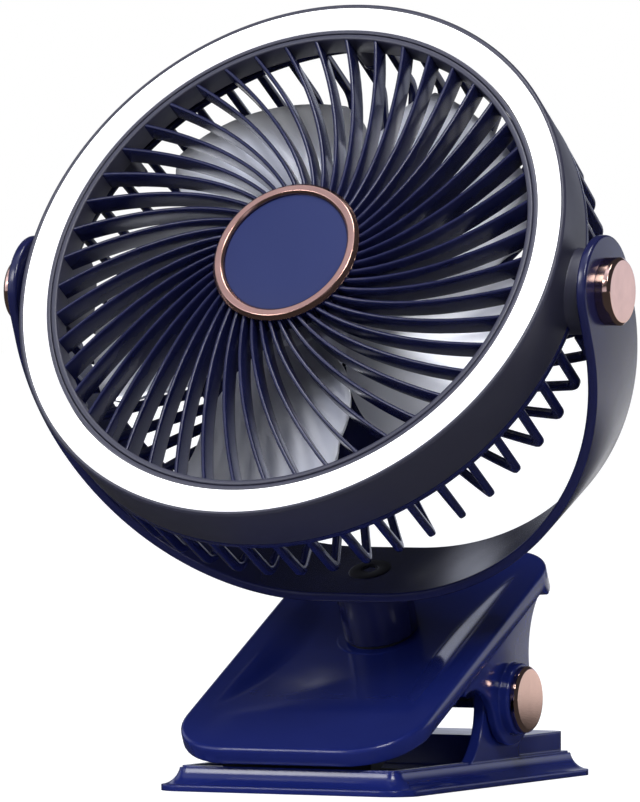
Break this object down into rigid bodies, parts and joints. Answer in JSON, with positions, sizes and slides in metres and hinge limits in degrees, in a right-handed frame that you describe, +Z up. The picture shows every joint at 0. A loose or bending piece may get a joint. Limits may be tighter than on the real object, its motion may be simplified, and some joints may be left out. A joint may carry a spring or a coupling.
{
  "type": "clip-on camping fan",
  "caption": "Portable fan with a ring light, a head that tilts in a U yoke, and a spring clip base that also stands on a table.",
  "frame": {"origin": "on the ground, under the middle of the clip's base", "axes": "+X to the right seen from the front, +Y to the back, +Z up"},
  "size_m": [0.205, 0.178, 0.2401],
  "materials": {
    "navy_gloss": "gloss",
    "grille_navy": "gloss",
    "barrel_dark": "satin",
    "light_diffuser": "matte",
    "rose_gold": "polished",
    "hub_navy": "satin",
    "blade_plastic": "gloss",
    "steel": "satin",
    "spring_steel": "satin",
    "black_steel": "satin",
    "pad_rubber": "matte",
    "dark_plastic": "matte",
    "brass": "satin",
    "cell_sleeve": "satin",
    "board_green": "satin",
    "board_white": "satin",
    "led_phosphor": "matte",
    "copper": "satin",
    "magnet": "matte",
    "clear_lens": "gloss",
    "button_navy": "satin"
  },
  "bodies": {
    "base": {"lower_jaw": "navy_gloss", "lower_jaw_pad": "pad_rubber", "foot_pads": "pad_rubber", "hinge_pin": "steel", "pin_cap_left": "rose_gold", "pin_cap_right": "rose_gold", "torsion_spring": "spring_steel"},
    "upper_jaw": {"upper_jaw": "navy_gloss", "upper_jaw_pad": "pad_rubber", "swivel_washer": "dark_plastic"},
    "yoke": {"yoke": "navy_gloss", "swivel_post": "navy_gloss", "swivel_bolt": "black_steel", "swivel_nut": "steel", "tilt_cap_left": "rose_gold", "tilt_cap_right": "rose_gold"},
    "head": {"barrel": "barrel_dark", "light_ring": "light_diffuser", "led_board": "board_white", "led_chips": "led_phosphor", "front_grille": "grille_navy", "hub_trim": "rose_gold", "hub_disc": "hub_navy", "rear_cage": "grille_navy", "cage_screws": "steel", "pod_shell": "navy_gloss", "pod_screws": "steel", "battery_cells": "cell_sleeve", "cell_holder": "dark_plastic", "control_board": "board_green", "usb_socket": "steel", "level_lens": "clear_lens", "tilt_bolt_left": "steel", "tilt_bolt_right": "steel", "tilt_washers": "dark_plastic", "tilt_inserts": "brass", "motor_case": "steel", "motor_bushes": "brass", "motor_magnets": "magnet"},
    "rotor": {"fan_rotor": "blade_plastic", "motor_shaft": "steel", "motor_armature": "copper", "shaft_clip": "steel"},
    "fan_button": {"fan_button": "button_navy"},
    "light_button": {"light_button": "button_navy"}
  },
  "joints": [
    {"name": "clip_hinge", "type": "hinge", "parent": "base", "child": "upper_jaw", "pos_m": [0, 0.013, 0.026], "axis": [-1, 0, 0], "range_deg": [0, 42], "stiffness_Nm_per_rad": 1.2, "springref_deg": -57.3, "deforming": ["torsion_spring"]},
    {"name": "swivel", "type": "hinge", "parent": "upper_jaw", "child": "yoke", "pos_m": [0, 0.00303, 0.04577], "axis": [0, -0.4067, 0.9135], "continuous": true},
    {"name": "head_tilt", "type": "hinge", "parent": "yoke", "child": "head", "pos_m": [0, -0.04435, 0.15219], "axis": [-1, 0, 0], "continuous": true},
    {"name": "fan_spin", "type": "hinge", "parent": "head", "child": "rotor", "pos_m": [0, -0.04435, 0.15219], "axis": [0, -0.866, 0.5], "continuous": true},
    {"name": "fan_press", "type": "slide", "parent": "head", "child": "fan_button", "axis": [0, -0.866, 0.5], "range_m": [0, 0.0008], "stiffness_N_per_m": 1500, "springref_m": -0.0006},
    {"name": "light_press", "type": "slide", "parent": "head", "child": "light_button", "axis": [0, -0.866, 0.5], "range_m": [0, 0.0008], "stiffness_N_per_m": 1500, "springref_m": -0.0006}
  ]
}
